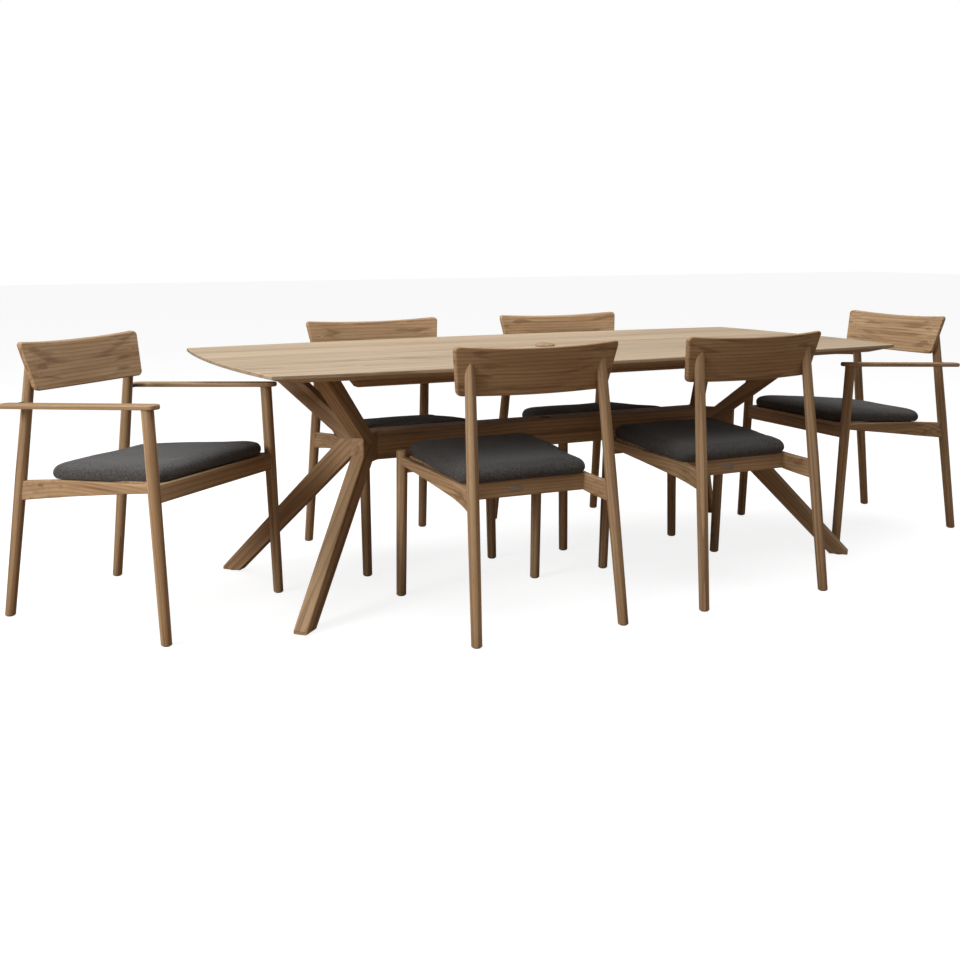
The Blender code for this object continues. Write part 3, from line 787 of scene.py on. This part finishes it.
def back_v(u, z):
    """Middle of the board's thickness: a parabola in u, 25 mm deep, leaning back with z."""
    bow = 0.025 * (1 - (u / 0.260) ** 2)
    return -0.165 - bow - math.tan(BACK_LEAN) * (z - (BACK_LOW + BACK_HIGH) / 2)


def side_rail_path(chair, v):
    """Middle of a side rail: straight to the waist beside the rear rail, then flared outward."""
    front_u, front_v = axis_at(chair, "front", 1, SEAT_Z)
    rear_u, rear_v = axis_at(chair, "rear", 1, SEAT_Z)
    waist_v = -0.078
    waist_u = rear_u - 0.016
    t = (v - waist_v) / (front_v - waist_v)
    s = (waist_v - v) / (waist_v - rear_v)
    ahead = waist_u + (front_u - waist_u) * t * (0.75 + 0.25 * t)
    return np.where(v > waist_v, ahead, waist_u + (rear_u - waist_u) * s * s)


def side_rail_depth(v):
    """Deepest at the rear leg, as deep as the rear rail beside it, then thinner to the front."""
    return np.interp(v, [-0.235, -0.108, 0.270], [0.0575, 0.0512, 0.0220])


def eased_foot(radius):
    """Heights and radii of a foot's lowest few millimetres above its glide."""
    a = np.linspace(0, math.pi / 2, 4)
    return GLIDE_H + 0.002 * (1 - np.cos(a)), radius - 0.002 * (1 - np.sin(a))


# %% Legs
def build_rear_leg(chair, side, label):
    """Rings up to where the leg's rearmost side meets the board, each held behind the board."""
    foot, lean = chair["legs"]["rear", side]
    armed = chair["armed"]
    low_z, low_r = eased_foot(leg_radius("rear", armed, 0.0))
    search = np.linspace(0.66, 0.84, 400)
    radius = leg_radius("rear", armed, search)
    u, v = foot[0] + lean[0] * search, foot[1] + lean[1] * search
    limit = back_v(u, search) - BACK_T / 2 / math.cos(BACK_LEAN) + 0.0005
    begin = search[(v + radius > limit).argmax()] - 0.004
    tip = search[(v - radius * 0.985 > limit).argmax()]
    z = np.concatenate([low_z, [0.1, 0.2, 0.3, SEAT_Z, 0.5, 0.6], np.linspace(begin, tip, 22)])
    r = np.concatenate([low_r, leg_radius("rear", armed, z[len(low_z):])])
    rings = turned_rings(foot, lean, z, r)
    limit = back_v(rings[..., 0], rings[..., 2]) - BACK_T / 2 / math.cos(BACK_LEAN) + 0.0005
    rings[..., 1] = np.minimum(rings[..., 1], limit)
    wooden(f"{chair['name']}_rear_turned_{label}", [shell(rings)], chair["place"],
           (lean[0], lean[1], 1), chair["name"], [f"{chair['name']}_rear_leg_{label}"], flat=False)


def build_front_leg(chair, side, label):
    """A leg with an eased flat head, which in an armchair ends inside the arm."""
    foot, lean = chair["legs"]["front", side]
    armed = chair["armed"]
    low_z, low_r = eased_foot(leg_radius("front", armed, 0.0))
    head = 0.664 if armed else HEAD_Z["front", armed]
    a = np.linspace(0, math.pi / 2, 6)
    head_r = float(leg_radius("front", armed, head))
    top_z = head - 0.005 + 0.005 * np.sin(a)
    top_r = head_r - 0.005 * (1 - np.cos(a))
    middle = np.array([0.1, 0.2, 0.3, SEAT_Z - 0.02] + ([0.5, 0.58] if armed else []))
    z = np.concatenate([low_z, middle, top_z])
    r = np.concatenate([low_r, leg_radius("front", armed, middle), top_r])
    wooden(f"{chair['name']}_front_turned_{label}", [shell(turned_rings(foot, lean, z, r))],
           chair["place"], (lean[0], lean[1], 1), chair["name"],
           [f"{chair['name']}_front_leg_{label}"], flat=False)


# %% [markdown]
# ## The chairs: seat frame
# Four rails make the seat frame. The side rails are bent in plan, straight from the front leg and
# flared to the rear leg, and they deepen toward the rear. A section is swept along each rail's
# path. Its ends lie inside the legs, as a tenon would. Corner blocks are screwed in from below.

# %% Rails and blocks
def sweep_rail(path, depth, width, steps=4):
    """Rings of a rail with a level path in plan: the section stands square to the path, and its
    top stays on the sloping seat plane."""
    run = unit(np.gradient(path, axis=0))
    square = np.column_stack([run[:, 1], -run[:, 0]])
    across, up = rounded_section(width, depth, 0.0035, steps)
    u = path[:, :1] + across * square[:, :1]
    v = path[:, 1:] + across * square[:, 1:]
    top = np.broadcast_to(np.reshape(depth, (-1, 1)), u.shape)
    return np.stack([u, v, seat_plane(v) - top / 2 + up], -1)


def build_seat_frame(chair):
    """Front, rear and two side rails, and a block in each corner."""
    name = chair["name"]
    front_u, front_v = axis_at(chair, "front", 1, SEAT_Z)
    rear_v = axis_at(chair, "rear", 1, SEAT_Z)[1]
    reach = front_u - 0.004
    path = np.column_stack([np.linspace(-reach, reach, 9), np.full(9, front_v)])
    wooden(f"{name}_front_rail", [shell(sweep_rail(path, RAIL_H, RAIL_T))], chair["place"],
           (1, 0, 0), name, [f"{name}_seat_frame"])
    reach = float(side_rail_path(chair, REAR_RAIL_V)) - 0.004
    path = np.column_stack([np.linspace(-reach, reach, 9), np.full(9, REAR_RAIL_V)])
    wooden(f"{name}_rear_rail", [shell(sweep_rail(path, 0.0500, RAIL_T))],
           chair["place"], (1, 0, 0), name)
    v = np.linspace(rear_v + 0.002, front_v - 0.002, 40)
    for side, label in ((-1, "left"), (1, "right")):
        path = np.column_stack([side * side_rail_path(chair, v), v])
        rail = sweep_rail(path, side_rail_depth(v), RAIL_T)
        wooden(f"{name}_side_rail_{label}", [shell(rail)], chair["place"],
               (side * (front_u - 0.205) / 0.4, 1, 0), name)
    blocks = []
    for side in (-1, 1):
        for corner_v, toward, size in ((front_v - 0.011, -1, 0.055), (REAR_RAIL_V + 0.011, 1, 0.045)):
            inner = float(side_rail_path(chair, corner_v)) - RAIL_T / 2 + 0.002
            corner = [(side * inner, corner_v), (side * inner, corner_v + toward * size),
                      (side * (inner - 0.018), corner_v + toward * size),
                      (side * (inner - size), corner_v + toward * 0.018),
                      (side * (inner - size), corner_v)]
            rings = plate_rings(np.array(corner), 0.012, 0.0015, 2)
            rings[..., 2] += seat_plane(rings[..., 1]) - 0.0240
            blocks.append(shell(rings))
    wooden(f"{name}_corner_blocks", blocks, chair["place"], (1, 0, 0), name)


# %% [markdown]
# ## The chairs: back, arms and small parts
# The backrest is a bent board, hollow toward the sitter, wider at its top and slightly dipped in
# the middle. It is screwed to the legs from its front, and dowel plugs cover the screws. A plain
# oval plate sits on the rear rail. The armchairs' flat arms stand on the front legs and pass outside
# the rear ones, held off by a short round boss, made black as painted shade between arm and leg.

# %% Backrest
def build_backrest(chair):
    """Sections across the board, at distances e from its ends. Within the corner's radius c the
    height shrinks by c - sqrt(c^2 - (c - e)^2) at top and bottom, and within the edge's radius
    the thickness shrinks likewise."""
    half = 0.2540 if chair["armed"] else 0.2595
    near_end = np.array([0.0, 0.0003, 0.001, 0.002, 0.0032, 0.0045, 0.006, 0.009, 0.012, 0.016])
    middle = np.linspace(0.03, 2 * half - 0.03, 37)
    e = np.concatenate([near_end, middle, 2 * half - near_end[::-1]])
    t = e / half - 1
    e = np.minimum(e, 2 * half - e)
    corner, edge = 0.016, 0.0055
    drawn = corner - np.sqrt(corner ** 2 - np.maximum(corner - e, 0) ** 2)
    thin = 2 * (edge - np.sqrt(edge ** 2 - np.maximum(edge - e, 0) ** 2))
    low = BACK_LOW + drawn - 0.004 * (1 - t * t)
    high = BACK_HIGH - drawn - 0.010 * (1 - t * t)
    width = BACK_T - thin
    across, up = rounded_section(width, high - low, np.minimum(edge, width * 0.49)[:, None], 5)
    z = (low + high)[:, None] / 2 + up
    u = t[:, None] * (half - 0.022 * (BACK_HIGH - z) / (BACK_HIGH - BACK_LOW))
    rings = np.stack([u, back_v(u, z) + across / math.cos(BACK_LEAN), z], -1)
    name = chair["name"]
    wooden(f"{name}_back_board", [shell(rings)], chair["place"], (1, 0, 0), name,
           [f"{name}_backrest"])
    plugs = []
    for u in (-0.205, 0.205):
        for z in (0.725, 0.763):
            front = back_v(u, z) + BACK_T / 2 / math.cos(BACK_LEAN)
            face = (-0.05 * u / 0.260 ** 2, 1, math.tan(BACK_LEAN))
            plugs.append(shell(button((u, front, z), face, 0.0052, 0.0004, 0.0004)))
    wooden(f"{name}_dowel_plugs", plugs, chair["place"], (0, 1, 0), name, tone=1.6, flat=False)


# %% Arms, plate, glides and screws
ARM_U = 0.285
ARM_HALF = 0.0225
ARM_T = 0.014
ARM_FRONT_V = 0.318
ARM_REAR_V = -0.232
ARM_Z = 0.6452
ARM_SLOPE = 0.045


def build_arms(chair):
    """Flat bars with round ends, rising toward the front, and the short bosses inside them, in black
    as painted shade.
    """
    name = chair["name"]
    a = np.linspace(0, math.pi, 17)
    for side, label in ((-1, "left"), (1, "right")):
        curve = ARM_HALF * np.column_stack([np.cos(a), np.sin(a)])
        front = curve + (0, ARM_FRONT_V - ARM_HALF)
        rear = (0, ARM_REAR_V + ARM_HALF) - curve
        rings = plate_rings(np.concatenate([front, rear]) + (side * ARM_U, 0), ARM_T, 0.0045)
        rings[..., 2] += ARM_Z + ARM_SLOPE * rings[..., 1]
        wooden(f"{name}_flat_arm_{label}", [shell(rings)], chair["place"], (0, 1, ARM_SLOPE),
               name, [f"{name}_arm_{label}"])
        u, v = axis_at(chair, "rear", side, ARM_Z)
        start = (u + side * 0.008, v, ARM_Z + ARM_T / 2 + ARM_SLOPE * v)
        reach = abs(0.275 - abs(start[0]))
        # Painted shade: the boss is teak, but it takes the black nylon finish to stand for the shadow
        # between arm and rear leg.
        small(f"{name}_arm_boss_{label}", [shell(spun(start, (side, 0, 0), (0, reach),
              (0.006, 0.006)))], chair["place"], name, nylon)


def build_fittings(chair):
    name = chair["name"]
    a = 2 * math.pi * np.arange(48) / 48
    oval = np.column_stack([0.0225 * np.cos(a), 0.0078 * np.sin(a)])
    rings = upright(plate_rings(oval, 0.0016, 0.0006, 3)) * (1, -1, 1)
    rings += (-0.030, REAR_RAIL_V - RAIL_T / 2 + 0.0002, seat_plane(REAR_RAIL_V) - RAIL_H / 2)
    small(f"{name}_oval_plate", [shell(rings)], chair["place"], name, pewter)
    glides = []
    for foot, _ in chair["legs"].values():
        glides.append(shell(spun((*foot, 0), (0, 0, 1), (0.0, 0.0005, GLIDE_H + 0.002),
                                 (0.0110, 0.0115, 0.0115))))
    small(f"{name}_glides", glides, chair["place"], name, nylon)
    heads = []
    for side in (-1, 1):
        for v, inward in ((0.228, 0.035), (-0.065, 0.030)):
            u = side * (float(side_rail_path(chair, v)) - inward)
            heads.append(shell(button((u, v, seat_plane(v) - 0.0240), (0, 0, -1), 0.0045, 0.001,
                                      0.0008)))
    small(f"{name}_block_screws", heads, chair["place"], name, steel)


for chair in CHAIRS:
    chair["place"] = (chair["origin"], chair["turn"])
    for side, label in ((-1, "left"), (1, "right")):
        build_rear_leg(chair, side, label)
        build_front_leg(chair, side, label)
    build_seat_frame(chair)
    build_backrest(chair)
    build_fittings(chair)
    if chair["armed"]:
        build_arms(chair)
print(len(CHAIRS), "chairs framed")

# %% [markdown]
# ## The pads
# A pad is fabric sewn round foam, so its shape is the balance of a skin that stretches and a filling
# that pushes. The cloth simulation finds that shape: it starts from a slightly small pad, its flat
# underside is held, and a pressure inside swells the rest. Each kind of pad is blown up once, and
# copies go to the chairs of that kind.

# %% Pads
PAD_SHAPES = {False: (0.2170, 0.212, -0.129, 0.294), True: (0.261, 0.219, -0.151, 0.302)}
PAD_BOW = 0.009
PAD_SECTION = [(0.0180, 0.0), (0.0110, 0.0012), (0.0062, 0.0050), (0.0042, 0.0110),
               (0.0040, 0.0180), (0.0052, 0.0260), (0.0090, 0.0330), (0.0160, 0.0380),
               (0.0280, 0.0410), (0.0500, 0.0430), (0.0850, 0.0445), (0.1300, 0.0455)]
MOST_SWELL = 0.005
VOXEL = 0.006


def pad_start(armed):
    """Rings of the pad before it is blown up, in its own flat frame: the outline drawn in and
    raised step by step, from the underside to the crown."""
    front, rear, low_v, high_v = PAD_SHAPES[armed]
    rings = []
    for inset, rise in PAD_SECTION:
        bulge = (front + rear) / 2 + PAD_BOW - inset
        corners = np.array([(-rear + inset, low_v + inset), (rear - inset, low_v + inset),
                            (bulge, 0.07), (front - inset, high_v - inset),
                            (-front + inset, high_v - inset), (-bulge, 0.07)])
        corner = max(0.042 - 0.2 * inset, 0.015)
        radii = [corner, corner, 0.9, corner, corner, 0.9]
        outline = round_corners(corners, radii, 8)
        rings.append(np.column_stack([outline, np.full(len(outline), rise)]))
    return np.array(rings)


def blow_up(armed):
    """Points and faces of a finished pad in its own flat frame."""
    flat = (np.zeros(3), np.eye(3))
    pad = make_mesh("pad_start", [shell(pad_start(armed))], flat)
    voxels = pad.modifiers.new("even_mesh", "REMESH")
    voxels.mode = "VOXEL"
    voxels.voxel_size = VOXEL
    bpy.context.view_layer.update()
    apply_modifiers(pad)
    start = read(pad.data.vertices, "co", 3).astype(float)
    end = start.copy()
    held = pad.vertex_groups.new(name="held")
    held.add(np.flatnonzero(start[:, 2] < 0.0015).tolist(), 1.0, "REPLACE")
    cloth = pad.modifiers.new("swell", "CLOTH")
    cloth.settings.vertex_group_mass = "held"
    cloth.settings.quality = 6
    cloth.settings.mass = 0.3
    cloth.settings.tension_stiffness = 12
    cloth.settings.compression_stiffness = 12
    cloth.settings.bending_stiffness = 0.4
    cloth.settings.use_pressure = True
    cloth.settings.uniform_pressure_force = 4.0
    cloth.settings.effector_weights.gravity = 0.0
    cloth.point_cache.frame_start = 1
    cloth.point_cache.frame_end = 20
    for number in range(1, 21):
        bpy.context.scene.frame_set(number)
    apply_modifiers(pad)
    shift = read(pad.data.vertices, "co", 3) - start
    length = np.linalg.norm(shift, axis=1, keepdims=True)
    end = start + shift * np.minimum(1, MOST_SWELL / np.maximum(length, 1e-9))
    bpy.context.scene.frame_set(1)
    print("swelled by up to", round(float(length.max()), 4), "held to", MOST_SWELL)
    faces = [list(face.vertices) for face in pad.data.polygons]
    bpy.data.objects.remove(pad)
    end[:, 2] = np.maximum(end[:, 2], 0.0)
    return end, faces


blown = {armed: blow_up(armed) for armed in (False, True)}


def mark_weave(piece, points):
    layer = piece.data.attributes.new("weave", "FLOAT_VECTOR", "POINT")
    layer.data.foreach_set("vector", points.astype(np.float32).ravel())


for chair in CHAIRS:
    name = chair["name"]
    points, faces = blown[chair["armed"]]
    phase = draw.uniform(0, 6, 3)
    wave = (np.sin(17 * points[:, 0] + phase[0]) * np.sin(15 * points[:, 1] + phase[1])
            + 0.5 * np.sin(31 * points[:, 0] + 24 * points[:, 1] + phase[2]))
    local = points.copy()
    local[:, 2] *= 1 + 0.022 * wave
    local[:, 2] += seat_plane(points[:, 1]) + 0.0004
    pad = bpy.data.objects.new(f"{name}_stuffed_pad", bpy.data.meshes.new("pad"))
    pad.data.from_pydata(to_world(local, chair["place"]).tolist(), [], faces)
    pad.data.shade_smooth()
    show(pad)
    mark_weave(pad, points)
    finer = pad.modifiers.new("finer", "SUBSURF")
    finer.levels = 1
    finer.render_levels = 1
    settle(pad, f"{name}_pad", charcoal, [f"{name}_seat_pad"])
    inner = float(side_rail_path(chair, 0.0)) - RAIL_T / 2 - 0.004
    front_v = float(axis_at(chair, "front", 1, SEAT_Z)[1]) - RAIL_T / 2 - 0.004
    rear_v = REAR_RAIL_V + RAIL_T / 2 + 0.004
    rear_in = float(side_rail_path(chair, rear_v)) - RAIL_T / 2 - 0.004
    front_in = float(side_rail_path(chair, front_v)) - RAIL_T / 2 - 0.004
    board = np.array([(-rear_in, rear_v), (rear_in, rear_v), (inner, 0.0), (front_in, front_v),
                      (-front_in, front_v), (-inner, 0.0)])
    rings = plate_rings(round_corners(board, [0.01, 0.01, 0.001, 0.01, 0.01, 0.001]), 0.012, 0.002)
    rings[..., 2] += seat_plane(rings[..., 1]) - 0.0085
    wooden(f"{name}_pad_base", [shell(rings)], chair["place"], (1, 0, 0), f"{name}_pad")
print("six pads, the fullest", round(float(max(p[:, 2].max() for p, _ in blown.values())), 4))

# %% [markdown]
# ## Floor, light and the last measurements
# A white floor and a white surround stand in for a studio. Both show the camera more light than
# they give the set: the floor glows toward the camera and returns a dim, warm light, so faces
# turned down stay dark. A large soft light hangs overhead, and one from the left models the legs.

# %% Stage and light
floor_mesh = bpy.data.meshes.new("floor")
floor_mesh.from_pydata([(-30, -30, 0), (30, -30, 0), (30, 30, 0), (-30, 30, 0)], [], [(0, 1, 2, 3)])
floor = bpy.data.objects.new("floor", floor_mesh)
show(floor)
floor_finish, tree, shader = new_finish("studio_floor")
shader.inputs["Roughness"].default_value = 0.9
shader.inputs["Specular IOR Level"].default_value = 0.1
seen = add(tree, "ShaderNodeLightPath").outputs["Is Camera Ray"]
tree.links.new(blend(tree, seen, (0.30, 0.205, 0.135, 1), (0.30, 0.30, 0.30, 1)),
               shader.inputs["Base Color"])
tree.links.new(work(tree, "MULTIPLY", seen, 0.84), shader.inputs["Emission Strength"])
shader.inputs["Emission Color"].default_value = (1, 1, 1, 1)
floor_mesh.materials.append(floor_finish)

SKY_LOW = 0.14
SKY_HIGH = 0.42
world = bpy.data.worlds.new("surround")
world.use_nodes = True
bpy.context.scene.world = world
tree = world.node_tree
sky = tree.nodes["Background"]
direction = add(tree, "ShaderNodeTexCoord").outputs["Generated"]
height = add(tree, "ShaderNodeSeparateXYZ", {"Vector": direction}).outputs["Z"]
lit = add(tree, "ShaderNodeMapRange", {"Value": height, "To Min": SKY_LOW, "To Max": SKY_HIGH})
seen = add(tree, "ShaderNodeLightPath").outputs["Is Camera Ray"]
tree.links.new(work(tree, "MAXIMUM", lit.outputs[0], seen), sky.inputs["Strength"])
sky.inputs["Color"].default_value = (1, 1, 1, 1)


def area_light(name, place, aim, size, watts):
    made = bpy.data.lights.new(name, "AREA")
    made.size = size
    made.energy = watts
    light = bpy.data.objects.new(name, made)
    light.location = MIDDLE + np.array(place)
    light.rotation_euler = (Vector(aim) - Vector(place)).to_track_quat("-Z", "Y").to_euler()
    show(light)


area_light("overhead", (0.0, 0.3, 4.6), (0.0, 0.0, 0.0), 5.0, 215)
area_light("key_left", (-5.2, -1.2, 2.6), (0.0, 0.0, 0.4), 2.0, 170)
bpy.context.scene.view_settings.view_transform = "Standard"
